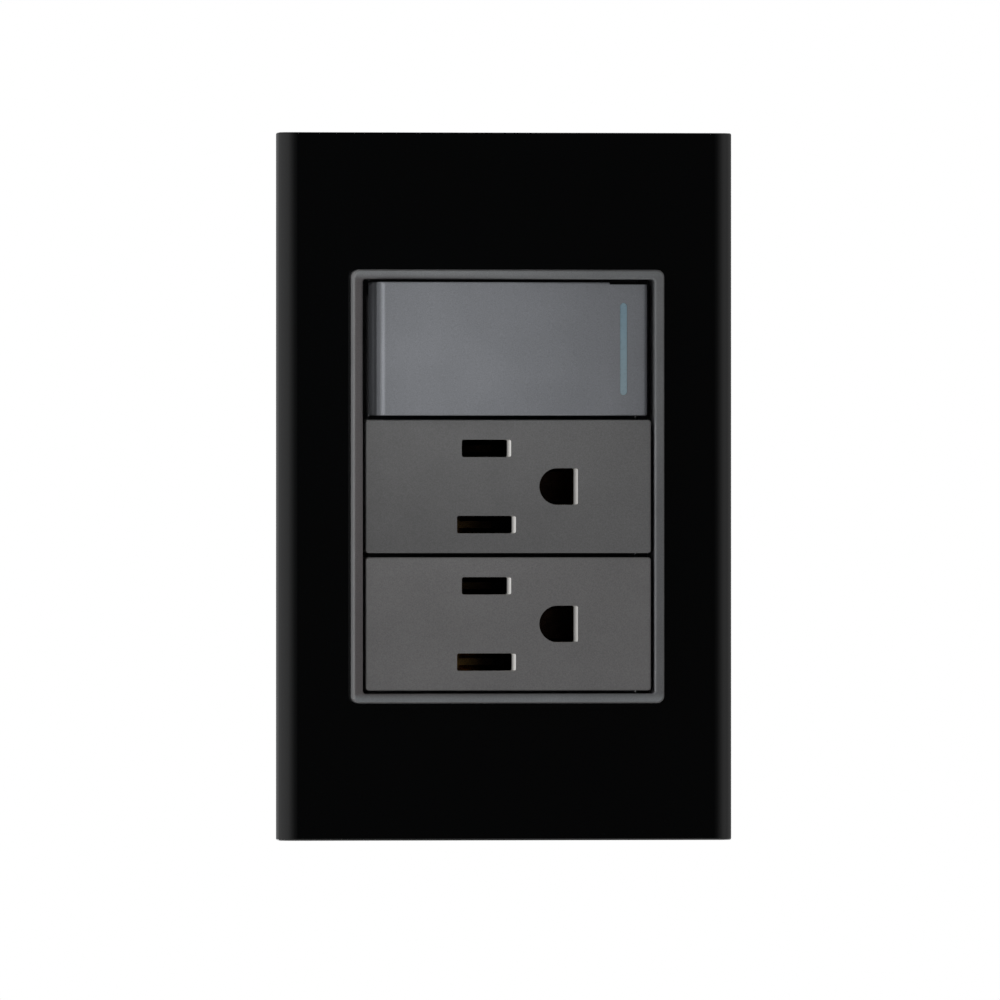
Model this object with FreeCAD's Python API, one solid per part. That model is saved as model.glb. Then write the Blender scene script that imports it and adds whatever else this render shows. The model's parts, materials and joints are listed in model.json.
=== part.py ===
import FreeCAD, Part
import math
import os
from FreeCAD import Vector

# A vertical wall plate with a proud bezel round three stacked modules: a wide rocker switch on
# top and two three-pin sockets below it, each turned a quarter turn.
# X is to the right, the front faces -Y, the wall is the plane y = 0 and Z is up.
# The origin is on the wall behind the middle of the plate. Lengths are in millimetres.

# Cover plate
plate_proud = 5.8
plate_wall = 2.0
plate_inner_corner = 1.2
shoulder_width = 3.0
shoulder_depth = 1.8
plate_end_edge = 0.3

# Modules: face sizes, how they stack and how deep they reach into the wall box
module_count = 3
module_seam = 0.7
face_width = 47.8
face_recess = 0.6
module_ledge = 1.65
body_gap = 0.3
seam_rib_overlap = 0.15
seam_rib_width = 0.8
seam_rib_play = 0.3
body_wall = 1.6
body_edge = 0.6
floor_gap = 1.68

# Bezel ring
bezel_bar = 1.6
bezel_side_gap = 0.55
bezel_end_gap = 0.5
bezel_proud = 4.0
bezel_corner = 1.2
bezel_inner_corner = 0.5
bezel_edge = 0.3
bezel_flange = 3.0
bezel_flange_end = 1.2
bezel_flange_thickness = 1.2
bezel_clearance = 0.15

# Heat stakes that hold the bezel to the plate
stake_radius = 0.75
stake_head_radius = 1.2
stake_head = 0.45
stake_play = 0.1
stake_rows = 3
stake_spacing = 25.0

# Support frame
frame_thickness = 1.6
frame_ledge_depth = 0.6
frame_edge = 1.6
frame_end = 13.85
frame_margin = 1.2
frame_end_margin = 1.5
frame_corner = 4.0
frame_rib = 1.0
frame_rib_height = 1.5
window_clearance = 0.4
collar_wall = 1.5
collar_depth = 2.4

# Screws into the wall box: the gap to the bezel's flange puts them 83.3 mm apart, as on the box
box_screw_gap = 1.15
box_screw_radius = 1.75
box_screw_neck = 1.45
box_screw_length = 20.0
box_screw_head_radius = 3.2
box_screw_head = 1.9
box_screw_crown = 0.85
box_screw_point = 0.7
screw_pad_side = 2.0
screw_pad_end = 1.0
box_slot_width = 4.2
box_slot_length = 9.0
screw_slot_width = 0.9

# Snap arms of the plate
latch_z = 30.0
latch_gap = 2.15
latch_thickness = 1.2
latch_width = 4.0
latch_barb = 0.6
latch_barb_height = 0.65
latch_play = 0.2

# Socket openings and their walls
blade_spacing = 12.7
blade_x = -3.7
ground_offset = 11.9
hot_slot_length = 8.3
neutral_slot_length = 9.9
slot_height = 2.93
slot_corner = 0.35
ground_radius = 3.06
ground_flat = 3.45
guide_wall = 0.9
guide_depth = 6.5
guide_clearance = 0.085

# Socket cover
cover_face = 1.8
cover_wall = 1.6
cover_long_wall = 1.1
cover_corner = 0.5
cover_edge = 0.25
cover_shoulder = 0.8
cover_lap = 1.5
lap_clearance = 0.2
lap_wall = 1.0
bump_height = 0.35
bump_width = 6.0
bump_play = 0.1

# Socket contacts
contact_sheet = 0.7
contact_start = 0.4
contact_stand = 3.7
rib_inset = 3.0
clip_width = 7.0
clip_mouth = 1.65
clip_pinch = 0.55
clip_waist = 1.35
clip_pinch_depth = 3.2
clip_waist_depth = 7.5
ground_clip_width = 4.6
ground_clip_mouth = 2.95
ground_clip_gap = 2.5
ground_clip_lead = 1.8

# Terminals, shared by all modules
terminal_depth = 9.8
terminal_gap = 0.7
terminal_plate = 0.8
terminal_screw_radius = 1.75
terminal_head_edge = 0.1
terminal_head = 1.7
terminal_inset = 0.3
clamp_thickness = 1.2
clamp_corner = 0.65
wire_space = 1.6
screw_tail = 2.0
terminal_hole_clearance = 0.06
window_play = 0.4
wire_hole_width = 2.2
wire_hole_height = 2.6
wire_hole_overhang = 0.5

# Module hooks that catch behind the frame's collar
hook_reach = 0.9
hook_length = 2.0
hook_width = 5.0
hook_play = 0.1

# Rocker cap
rocker_stand = 0.4
rocker_end_gap = 1.88
rocker_depth = 6.2
rocker_draft = 9.0
rocker_wall = 1.2
rocker_face = 1.5
rocker_end_radius = 0.9
rocker_edge = 0.35
rest_tilt = 4.5
pivot_depth = 10.8
notch_length = 6.4
notch_depth = 0.35

# Indicator in the rocker
lens_inset = 4.02
lens_width = 1.2
lens_height = 15.4
lens_lip = 0.5
lens_lip_thickness = 0.6
lens_play = 0.03
lens_sink = 0.05

# Cradle under the cap
cradle_end_gap = 1.6
cradle_side_gap = 1.3
cradle_plate = 1.4
cheek_thickness = 1.2
cheek_radius = 3.0
web_end_gap = 1.0
pin_radius = 1.4
pin_clearance = 0.06
pin_end_gap = 0.1
barrel_radius = 3.1
barrel_reach = 4.4
plunger_radius = 1.97
plunger_clearance = 0.08
cap_hook_inset = 5.0
cap_hook_width = 4.0
cap_hook_barb = 0.55
cap_hook_barb_height = 0.8
cap_hook_play = 0.1
cap_hook_gap = 0.15

# Plunger and spring
plunger_tip_depth = 10.6
plunger_tip_radius = 0.9
plunger_length = 8.4
plunger_taper = 1.6
spring_wire = 0.45
spring_radius = 1.5
spring_turns = 7
spring_end_gap = 0.05

# Switch deck
deck_thickness = 0.8
deck_edge = 0.15
deck_end_edge = 0.3
deck_opening = 12.0
bearing_gap = 0.3
bearing_wall = 1.4
bearing_play = 0.05
bearing_width = 7.2
bearing_reach = 2.8
bearing_entry = 2.3

# Rocking contact
contact_swing = 6.5
contact_thickness = 0.9
contact_length = 17.0
contact_width = 6.8
hump_radius = 1.3
fulcrum_radius = 0.4
fulcrum_base = 1.6
running_gap = 0.3
rivet_inset = 1.5
rivet_radius = 1.6
rivet_head = 0.7
rivet_shank = 0.8
rivet_play = 0.05
strip_width = 4.0
strip_end = 1.0

# Indicator lamp
lamp_shift = 1.1
lamp_radius = 1.5
lamp_play = 0.1
lamp_flange = 1.9
lamp_flange_thickness = 0.6
lamp_dome = 4.0
lamp_body = 3.0
lead_radius = 0.25
lead_spread = 0.65
lead_bend = 0.8
lead_z = 6.0

# How far cutters run past what they cut, and how far parts of one solid reach into each other
overrun = 1.0
bond = 0.2
same_place = 1e-4

# Planes worked out from the sizes above, from the wall outwards
plate_front = -plate_proud
plate_inside = plate_front + plate_wall
bezel_front = plate_front - bezel_proud
bezel_back = plate_inside + bezel_flange_thickness
face_y = bezel_front + face_recess
frame_front = -frame_thickness
ledge_y = frame_front + frame_ledge_depth
lap_y = ledge_y - cover_lap

# Half sizes of a module: its height follows from the blade slots of a socket
cavity_half_height = blade_spacing / 2 + slot_height / 2 + guide_wall + guide_clearance
lap_half_height = cavity_half_height + lap_wall
face_half_height = lap_half_height + lap_clearance + cover_long_wall
module_pitch = 2 * face_half_height + module_seam
body_half_height = module_pitch / 2 - body_gap
face_half = face_width / 2
body_half = face_half - module_ledge
cavity_half = body_half - body_wall
lap_half = face_half - cover_wall - lap_clearance
top_module_z = (module_count - 1) / 2 * module_pitch

# Half sizes of what goes round the modules, from the inside outwards
opening_half = face_half + bezel_side_gap
opening_half_height = top_module_z + face_half_height + bezel_end_gap
bezel_half = opening_half + bezel_bar
bezel_half_height = opening_half_height + bezel_bar
window_half = body_half + window_clearance
window_half_height = top_module_z + body_half_height + body_gap
box_screw_z = bezel_half_height + bezel_flange_end + box_screw_gap + box_screw_head_radius
latch_inner = bezel_half + bezel_flange + latch_gap
latch_outer = latch_inner + latch_thickness
frame_half = latch_outer + latch_barb + latch_play + frame_edge
frame_half_height = box_screw_z + frame_end
plate_half = frame_half + frame_margin + plate_wall
plate_half_height = frame_half_height + frame_end_margin + plate_wall

# Rocker when it is level, and what is under it
rocker_y = bezel_front - rocker_stand
rocker_rim = rocker_y + rocker_depth
rocker_inside = rocker_y + rocker_face
rocker_half = opening_half - rocker_end_gap
lens_x = rocker_half - lens_inset
lamp_x = lens_x - lamp_shift
pivot_y = rocker_y + pivot_depth
cradle_back = rocker_inside + cradle_plate
cradle_half = lens_x - lens_width / 2 - lens_lip - cradle_end_gap
cradle_half_width = face_half_height - rocker_wall - cradle_side_gap
cap_hook_x = cradle_half - cap_hook_inset
barrel_end = pivot_y + barrel_reach
deck_front = ledge_y - deck_thickness
bearing_outer = body_half_height - body_wall - bearing_play
bearing_inner = bearing_outer - bearing_wall
cheek_outer = bearing_inner - bearing_gap
pin_end = bearing_outer - pin_end_gap

# Rocking contact, and the strips behind it that set how deep the modules are
plunger_tip = pivot_y + plunger_tip_depth
contact_pivot = plunger_tip + running_gap + hump_radius
rivet_x = contact_length / 2 - rivet_inset
swing = math.radians(contact_swing)
closed_reach = (contact_thickness / 2 + rivet_head) * math.cos(swing)
closed_drop = (rivet_x + rivet_radius) * math.sin(swing)
fixed_contact_y = contact_pivot + closed_reach + closed_drop + running_gap
strip_front = fixed_contact_y + rivet_head
strip_back = strip_front + terminal_plate
cavity_back = strip_back + floor_gap
body_back = cavity_back + body_wall
contact_back = cavity_back - contact_stand
contact_bottom = contact_back - contact_sheet

# Terminal stack along X, from the end of a module inwards
terminal_half = (cavity_half_height - body_wall / 2) / 2 - terminal_gap
terminal_offset = cavity_half_height - terminal_gap - terminal_half
terminal_head_radius = terminal_half - terminal_head_edge
wire_hole_offset = terminal_half - wire_hole_height / 2 + wire_hole_overhang
head_out = body_half - terminal_inset
head_in = head_out - terminal_head
clamp_in = head_in - clamp_thickness
plate_out = clamp_in - wire_space
plate_in = plate_out - terminal_plate

right = Vector(1, 0, 0)
back = Vector(0, 1, 0)
up = Vector(0, 0, 1)


def box(x0, x1, y0, y1, z0, z1):
    return Part.makeBox(x1 - x0, y1 - y0, z1 - z0, Vector(x0, y0, z0))


def block(half_x, half_z, y0, y1, x=0.0, z=0.0):
    return box(x - half_x, x + half_x, y0, y1, z - half_z, z + half_z)


def rod(radius, start, end):
    return Part.makeCylinder(radius, (end - start).Length, start, end - start)


def edges_along(shape, axis):
    straight = [edge for edge in shape.Edges if isinstance(edge.Curve, Part.Line)]
    return [edge for edge in straight if edge.Curve.Direction.cross(axis).Length < same_place]


def edges_at(shape, y):
    found = []
    for edge in shape.Edges:
        span = edge.BoundBox
        if abs(span.YMin - y) + abs(span.YMax - y) < same_place:
            found.append(edge)
    return found


def rounded_block(half_x, half_z, radius, y0, y1, x=0.0, z=0.0):
    solid = block(half_x, half_z, y0, y1, x, z)
    return solid.makeFillet(radius, edges_along(solid, back))


def prism(edges, direction):
    return Part.Face(Part.Wire(edges)).extrude(direction)


def polygon_prism(points, direction):
    return Part.Face(Part.makePolygon(points + [points[0]])).extrude(direction)


def slot_block(half_length, radius, y0, y1, x, z):
    # A slot with round ends, long in Z.
    solid = block(radius, half_length - radius, y0, y1, x, z)
    for end in (-1, 1):
        centre_z = z + end * (half_length - radius)
        solid = solid.fuse(rod(radius, Vector(x, y0, centre_z), Vector(x, y1, centre_z)))
    return solid.removeSplitter()


def fused(solids):
    whole = solids[0]
    for solid in solids[1:]:
        whole = whole.fuse(solid)
    return whole.removeSplitter()


def turned_z(shape, angle, y):
    turned = shape.copy()
    turned.rotate(Vector(0, y, 0), up, angle)
    return turned


def moved_z(shape, z):
    moved = shape.copy()
    moved.translate(Vector(0, 0, z))
    return moved


def mirrored_x(shape):
    return shape.mirror(Vector(0, 0, 0), right)


def mirrored_z(shape):
    return shape.mirror(Vector(0, 0, 0), up)


# Cover plate
def plate_section():
    # The flat front runs into a round shoulder on each side.
    half = plate_half
    flat_half = half - shoulder_width
    radius = (shoulder_width ** 2 + shoulder_depth ** 2) / (2 * shoulder_depth)
    half_angle = math.asin(shoulder_width / radius) / 2
    mid_x = flat_half + radius * math.sin(half_angle)
    mid_y = plate_front + radius * (1 - math.cos(half_angle))
    side_y = plate_front + shoulder_depth
    left_wall = Part.makeLine(Vector(-half, 0, 0), Vector(-half, side_y, 0))
    left_edge = Vector(-flat_half, plate_front, 0)
    right_edge = Vector(flat_half, plate_front, 0)
    left_arc = Part.Arc(Vector(-half, side_y, 0), Vector(-mid_x, mid_y, 0), left_edge)
    front = Part.makeLine(left_edge, right_edge)
    right_arc = Part.Arc(right_edge, Vector(mid_x, mid_y, 0), Vector(half, side_y, 0))
    right_wall = Part.makeLine(Vector(half, side_y, 0), Vector(half, 0, 0))
    rim = Part.makeLine(Vector(half, 0, 0), Vector(-half, 0, 0))
    return [left_wall, left_arc.toShape(), front, right_arc.toShape(), right_wall, rim]


def latch_arm():
    # Arm on the right side; its barb catches under the frame's undercut.
    inner = latch_inner
    outer = latch_outer
    tip = -latch_play / 2
    barb_top = tip - latch_barb_height
    points = [
        Vector(inner, plate_inside, -latch_width / 2),
        Vector(outer, plate_inside, -latch_width / 2),
        Vector(outer, barb_top, -latch_width / 2),
        Vector(outer + latch_barb, barb_top, -latch_width / 2),
        Vector(outer, tip, -latch_width / 2),
        Vector(inner, tip, -latch_width / 2),
    ]
    return polygon_prism(points, up * latch_width)


def stake_places():
    x = bezel_half + bezel_flange / 2
    rows = range(stake_rows)
    return [(side * x, (row - (stake_rows - 1) / 2) * stake_spacing) for side in (-1, 1) for row in rows]


def make_cover_plate():
    shell = prism(plate_section(), up * (2 * plate_half_height))
    shell.translate(up * -plate_half_height)
    end_edges = []
    for edge in shell.Edges:
        flat_in_z = edge.BoundBox.ZLength < same_place
        on_rim = abs(edge.BoundBox.YMin) < same_place
        if flat_in_z and not on_rim:
            end_edges.append(edge)
    shell = shell.makeFillet(plate_end_edge, end_edges)
    cavity = block(plate_half - plate_wall, plate_half_height - plate_wall, plate_inside, overrun)
    cavity_edges = [edge for edge in edges_along(cavity, up) if edge.BoundBox.YMax < 0]
    shell = shell.cut(cavity.makeFillet(plate_inner_corner, cavity_edges))
    aperture = rounded_block(
        bezel_half + bezel_clearance,
        bezel_half_height + bezel_clearance,
        bezel_corner + bezel_clearance,
        plate_front - overrun,
        overrun,
    )
    shell = shell.cut(aperture)
    extras = []
    for x, z in stake_places():
        foot = Vector(x, plate_inside - bond, z)
        seat = Vector(x, bezel_back, z)
        extras.append(rod(stake_radius, foot, seat + back * bond))
        extras.append(rod(stake_head_radius, seat, seat + back * stake_head))
    for z in (-latch_z, latch_z):
        arm = moved_z(latch_arm(), z)
        extras.append(arm)
        extras.append(mirrored_x(arm))
    return fused([shell] + extras)


# Bezel ring with its flange behind the plate
def make_bezel_frame():
    ring = rounded_block(bezel_half, bezel_half_height, bezel_corner, bezel_front, bezel_back)
    ring = ring.cut(rounded_block(
        opening_half, opening_half_height, bezel_inner_corner, bezel_front - overrun, bezel_back + overrun))
    ring = ring.makeFillet(bezel_edge, edges_at(ring, bezel_front))
    flange_half = bezel_half + bezel_flange
    flange_half_height = bezel_half_height + bezel_flange_end
    flange = rounded_block(flange_half, flange_half_height, bezel_corner, plate_inside, bezel_back)
    middle = bezel_bar / 2
    flange = flange.cut(block(
        bezel_half - middle, bezel_half_height - middle, plate_inside - overrun, bezel_back + overrun))
    for x, z in stake_places():
        start = Vector(x, plate_inside - overrun, z)
        end = Vector(x, bezel_back + overrun, z)
        flange = flange.cut(rod(stake_radius + stake_play, start, end))
    return fused([ring, flange])


# Support frame
def make_support_frame():
    frame = rounded_block(frame_half, frame_half_height, frame_corner, frame_front, 0.0)
    rim_top = frame_front - frame_rib_height
    rim = rounded_block(frame_half, frame_half_height, frame_corner, rim_top, frame_front)
    inside = frame_corner - frame_rib
    rim = rim.cut(rounded_block(
        frame_half - frame_rib, frame_half_height - frame_rib, inside, rim_top - overrun, overrun))
    collar = rounded_block(
        window_half + collar_wall, window_half_height + collar_wall, collar_wall, frame_front, collar_depth)
    frame = fused([frame, rim, collar])
    frame = frame.cut(block(window_half, window_half_height, frame_front - overrun, collar_depth + overrun))
    frame = frame.cut(block(
        face_half + window_clearance, window_half_height + window_clearance, frame_front - overrun, ledge_y))
    for side in (-1, 1):
        z = side * box_screw_z
        pad_half = box_slot_length / 2 + screw_pad_side
        pad_half_height = box_screw_head_radius + screw_pad_end
        pad = block(pad_half, pad_half_height, frame_front - overrun, ledge_y, 0.0, z)
        flat_half = (box_slot_length - box_slot_width) / 2
        slot = block(flat_half, box_slot_width / 2, frame_front - overrun, overrun, 0.0, z)
        for end in (-flat_half, flat_half):
            front = Vector(end, frame_front - overrun, z)
            slot = slot.fuse(rod(box_slot_width / 2, front, Vector(end, overrun, z)))
        frame = frame.cut(pad).cut(slot.removeSplitter())
    inner = latch_inner
    outer = latch_outer
    undercut = latch_barb_height + 2 * latch_play
    for side in (-1, 1):
        for z in (-latch_z, latch_z):
            low = z - latch_width / 2 - latch_play
            high = z + latch_width / 2 + latch_play
            hole = box(inner - latch_barb - latch_play, outer + latch_play, rim_top, overrun, low, high)
            catch = box(outer, outer + latch_barb + latch_play, -undercut, overrun, low, high)
            cutter = hole.fuse(catch)
            if side < 0:
                cutter = mirrored_x(cutter)
            frame = frame.cut(cutter)
    return frame.removeSplitter()


def make_box_screw(z):
    head_front = ledge_y - box_screw_head
    head = rod(box_screw_head_radius, Vector(0, head_front, z), Vector(0, ledge_y, z))
    head = head.makeFillet(box_screw_crown, edges_at(head, head_front))
    neck = rod(box_screw_neck, Vector(0, ledge_y, z), Vector(0, 0, z))
    shank = rod(box_screw_radius, Vector(0, 0, z), Vector(0, box_screw_length, z))
    shank = shank.makeChamfer(box_screw_point, edges_at(shank, box_screw_length))
    screw = fused([head, neck, shank])
    drive = block(screw_slot_width / 2, box_screw_head_radius + overrun, head_front - overrun,
                  head_front + box_screw_head / 2, 0.0, z)
    return screw.cut(drive)


# Terminals: each is drawn at the left end of a module, and mirrored for the right end
def terminal_screw(z):
    outside = Vector(-head_out, terminal_depth, z)
    seat = Vector(-head_in, terminal_depth, z)
    tail = Vector(-(plate_in - screw_tail), terminal_depth, z)
    head = rod(terminal_head_radius, outside, seat)
    shank = rod(terminal_screw_radius, seat, tail)
    drive = box(-head_out - overrun, -head_out + terminal_head / 2, terminal_depth - screw_slot_width / 2,
                terminal_depth + screw_slot_width / 2, z - terminal_head_radius, z + terminal_head_radius)
    return fused([head, shank]).cut(drive)


def terminal_hole(z, clearance):
    start = Vector(-body_half, terminal_depth, z)
    return rod(terminal_screw_radius + clearance, start, start + right * body_half)


def clamp_plate(z):
    plate = box(-head_in, -clamp_in, terminal_depth - terminal_half, terminal_depth + terminal_half,
                z - terminal_half, z + terminal_half)
    plate = plate.makeFillet(clamp_corner, edges_along(plate, right))
    return plate.cut(terminal_hole(z, terminal_hole_clearance))


def terminal_plate_at(z, bottom):
    plate = box(-plate_out, -plate_in, terminal_depth - terminal_half, bottom,
                z - terminal_half, z + terminal_half)
    return plate.cut(terminal_hole(z, terminal_hole_clearance))


def body_terminal_cuts(z):
    # The window for the screw's head in the end wall, and two wire entries in the back.
    half = terminal_head_radius + window_play
    window = box(-body_half - overrun, -cavity_half + bond, terminal_depth - half, terminal_depth + half,
                 z - half, z + half)
    cuts = [window]
    wire_x = -(clamp_in + plate_out) / 2
    for side in (-1, 1):
        wire_z = z + side * wire_hole_offset
        cuts.append(block(wire_hole_width / 2, wire_hole_height / 2, cavity_back - overrun,
                          body_back + overrun, wire_x, wire_z))
    return cuts


def body_hook():
    # Wedge on the left end that snaps behind the frame's collar.
    top = collar_depth + hook_play
    points = [
        Vector(-body_half + bond, top, -hook_width / 2),
        Vector(-body_half - hook_reach, top, -hook_width / 2),
        Vector(-body_half + bond, top + hook_length, -hook_width / 2),
    ]
    return polygon_prism(points, up * hook_width)


# Socket module, drawn about its own middle at z = 0
def slot_cutter(grow, y0, y1, slot_length, z):
    half = slot_length / 2 + grow
    return rounded_block(half, slot_height / 2 + grow, slot_corner + grow / 2, y0, y1, blade_x, z)


def ground_cutter(grow, y0, y1):
    x = blade_x + ground_offset
    radius = ground_radius + grow
    round_side = rod(radius, Vector(x, y0, 0), Vector(x, y1, 0))
    flat_side = box(x, x + ground_flat + grow, y0, y1, -radius, radius)
    corners = [edge for edge in edges_along(flat_side, back) if edge.BoundBox.XMin > x + grow]
    return fused([round_side, flat_side.makeFillet(slot_corner, corners)])


def socket_openings(grow, y0, y1):
    return [
        slot_cutter(grow, y0, y1, hot_slot_length, blade_spacing / 2),
        slot_cutter(grow, y0, y1, neutral_slot_length, -blade_spacing / 2),
        ground_cutter(grow, y0, y1),
    ]


def make_socket_cover():
    cover = rounded_block(face_half, face_half_height, cover_corner, face_y, ledge_y)
    cover = cover.makeFillet(cover_edge, edges_at(cover, face_y))
    inner_half = face_half - cover_wall
    inner_half_height = face_half_height - cover_long_wall
    cover = cover.cut(block(inner_half - cover_shoulder, inner_half_height - cover_shoulder,
                            face_y + cover_face, ledge_y + overrun))
    cover = cover.cut(block(inner_half, inner_half_height, lap_y, ledge_y + overrun))
    guides = socket_openings(guide_wall, face_y + cover_face / 2, face_y + guide_depth)
    cover = fused([cover] + guides)
    for opening in socket_openings(0.0, face_y - overrun, face_y + guide_depth + overrun):
        cover = cover.cut(opening)
    for side in (-1, 1):
        pocket = body_bump(bump_play)
        if side > 0:
            pocket = mirrored_x(pocket)
        cover = cover.cut(pocket)
    return cover.removeSplitter()


def body_bump(grow):
    # Low ridge on the body's lap that snaps into the cover's skirt.
    middle = (lap_y + ledge_y) / 2
    half = cover_lap / 4 + grow
    reach = bump_height + grow
    points = [
        Vector(-lap_half + bond, middle - half, -bump_width / 2 - grow),
        Vector(-lap_half - reach, middle, -bump_width / 2 - grow),
        Vector(-lap_half + bond, middle + half, -bump_width / 2 - grow),
    ]
    return polygon_prism(points, up * (bump_width + 2 * grow))


def seam_rib(start):
    # Low rib along a tub; those of neighbours pass each other and close the seam to light.
    half = window_half + seam_rib_overlap
    return box(-half, half, start, start + seam_rib_width,
               body_half_height - bond, body_half_height + body_gap + seam_rib_overlap)


def module_tub(front, inner_half_height):
    tub = block(body_half, body_half_height, front, body_back)
    tub = tub.makeChamfer(body_edge, edges_at(tub, body_back))
    tub = tub.cut(block(cavity_half, inner_half_height, front - overrun, cavity_back))
    hook = body_hook()
    top_rib = seam_rib(collar_depth + seam_rib_play)
    bottom_rib = mirrored_z(seam_rib(collar_depth + seam_rib_width + 2 * seam_rib_play))
    return fused([tub, hook, mirrored_x(hook), top_rib, bottom_rib])


def make_socket_body():
    tub = module_tub(ledge_y, cavity_half_height)
    lap = block(lap_half, lap_half_height, lap_y, ledge_y)
    lap = lap.cut(block(cavity_half, cavity_half_height, lap_y - overrun, ledge_y + overrun))
    bump = body_bump(0.0)
    partition_front = face_y + guide_depth + running_gap
    wall_x = blade_x + ground_offset - ground_radius - guide_wall - running_gap - body_wall / 2
    middle_wall = box(-cavity_half, wall_x, partition_front, cavity_back, -body_wall / 2, body_wall / 2)
    cross_wall = box(wall_x - body_wall / 2, wall_x + body_wall / 2, partition_front, cavity_back,
                     -cavity_half_height, cavity_half_height)
    ribs = []
    for x in (-plate_in + rib_inset, blade_x):
        for side in (-1, 1):
            ribs.append(block(body_wall / 2, terminal_half / 2, contact_back, cavity_back,
                              x, side * blade_spacing / 2))
    for x in (plate_in - rib_inset, blade_x + ground_offset):
        ribs.append(block(body_wall / 2, terminal_half / 2, contact_back, cavity_back, x, 0.0))
    body = fused([tub, lap, bump, mirrored_x(bump), middle_wall, cross_wall] + ribs)
    cuts = body_terminal_cuts(terminal_offset) + body_terminal_cuts(-terminal_offset)
    for cut in cuts:
        body = body.cut(cut)
    for cut in body_terminal_cuts(0.0):
        body = body.cut(mirrored_x(cut))
    return body


def leaf_side(x, depths, gaps):
    # A smooth curve from the mouth over the pinch to the waist, then straight to the bottom.
    mouth, pinch, waist = [Vector(x, y, z) for y, z in zip(depths, gaps)]
    curve = Part.BSplineCurve()
    curve.interpolate(Points=[mouth, pinch, waist], InitialTangent=pinch - mouth, FinalTangent=back)
    straight = Part.makeLine(waist, Vector(x, contact_bottom, waist.z))
    return [curve.toShape(), straight]


def spring_leaf(depths, gaps, x0, x1):
    # One leaf of a clip, drawn in the YZ plane and swept straight along X.
    outer_gaps = [gap + contact_sheet for gap in gaps]
    start = Part.makeLine(Vector(x0, depths[0], gaps[0]), Vector(x0, depths[0], outer_gaps[0]))
    end = Part.makeLine(Vector(x0, contact_bottom, gaps[-1]), Vector(x0, contact_bottom, outer_gaps[-1]))
    outer = leaf_side(x0, depths, outer_gaps)
    inner = leaf_side(x0, depths, gaps)
    return prism([start] + outer + [end] + inner[::-1], right * (x1 - x0))


def clip(depths, gaps, x0, x1, z):
    leaf = spring_leaf(depths, gaps, x0, x1)
    reach = gaps[-1] + contact_sheet
    bottom = box(x0, x1, contact_bottom, contact_back, -reach, reach)
    return moved_z(fused([leaf, mirrored_z(leaf), bottom]), z)


def make_blade_contact(side):
    front = contact_start + face_y + guide_depth
    depths = [front, front + clip_pinch_depth, front + clip_waist_depth]
    gaps = [clip_mouth, clip_pinch, clip_waist]
    x0 = blade_x - clip_width / 2
    blade_z = side * blade_spacing / 2
    jaws = clip(depths, gaps, x0, x0 + clip_width, blade_z)
    reach = clip_waist + contact_sheet
    low = min(blade_z - reach, side * terminal_offset - terminal_half)
    high = max(blade_z + reach, side * terminal_offset + terminal_half)
    strip = box(-plate_out, x0 + contact_sheet, contact_bottom, contact_back, low, high)
    return fused([jaws, strip, terminal_plate_at(side * terminal_offset, contact_back)])


def make_ground_contact():
    front = contact_start + face_y + guide_depth
    depths = [front, front + ground_clip_lead, front + 2 * ground_clip_lead]
    gaps = [ground_clip_mouth, ground_clip_gap, ground_clip_gap]
    centre = blade_x + ground_offset
    jaws = clip(depths, gaps, centre - ground_clip_width / 2, centre + ground_clip_width / 2, 0.0)
    strip = box(centre, plate_out, contact_bottom, contact_back, -terminal_half, terminal_half)
    return fused([jaws, strip, mirrored_x(terminal_plate_at(0.0, contact_back))])


def socket_nodes(name, z):
    blade_ends = (terminal_offset, -terminal_offset)
    screws = [terminal_screw(end) for end in blade_ends] + [mirrored_x(terminal_screw(0.0))]
    clamps = [clamp_plate(end) for end in blade_ends] + [mirrored_x(clamp_plate(0.0))]
    pieces = {
        "cover": make_socket_cover(),
        "body": make_socket_body(),
        "line_contact": make_blade_contact(1),
        "neutral_contact": make_blade_contact(-1),
        "ground_contact": make_ground_contact(),
        "clamps": Part.makeCompound(clamps),
        "terminal_screws": Part.makeCompound(screws),
    }
    return {name + "_" + key: moved_z(shape, z) for key, shape in pieces.items()}


# Rocker, drawn level about its own middle at z = 0, then turned to its rest tilt
def rocker_section(inset, y0, y1, round_ends):
    # Trapezoid whose ends flare by the draft towards the open rim.
    slope = math.tan(math.radians(rocker_draft))
    front = rocker_half - inset + (y0 - rocker_y) * slope
    rim = rocker_half - inset + (y1 - rocker_y) * slope
    outline = polygon_prism([
        Vector(-front, y0, 0),
        Vector(front, y0, 0),
        Vector(rim, y1, 0),
        Vector(-rim, y1, 0),
    ], up * (2 * (face_half_height - inset)))
    outline.translate(up * (inset - face_half_height))
    if round_ends:
        ends = [edge for edge in edges_along(outline, up) if abs(edge.BoundBox.YMax - y0) < same_place]
        outline = outline.makeFillet(rocker_end_radius, ends)
    return outline


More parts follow.
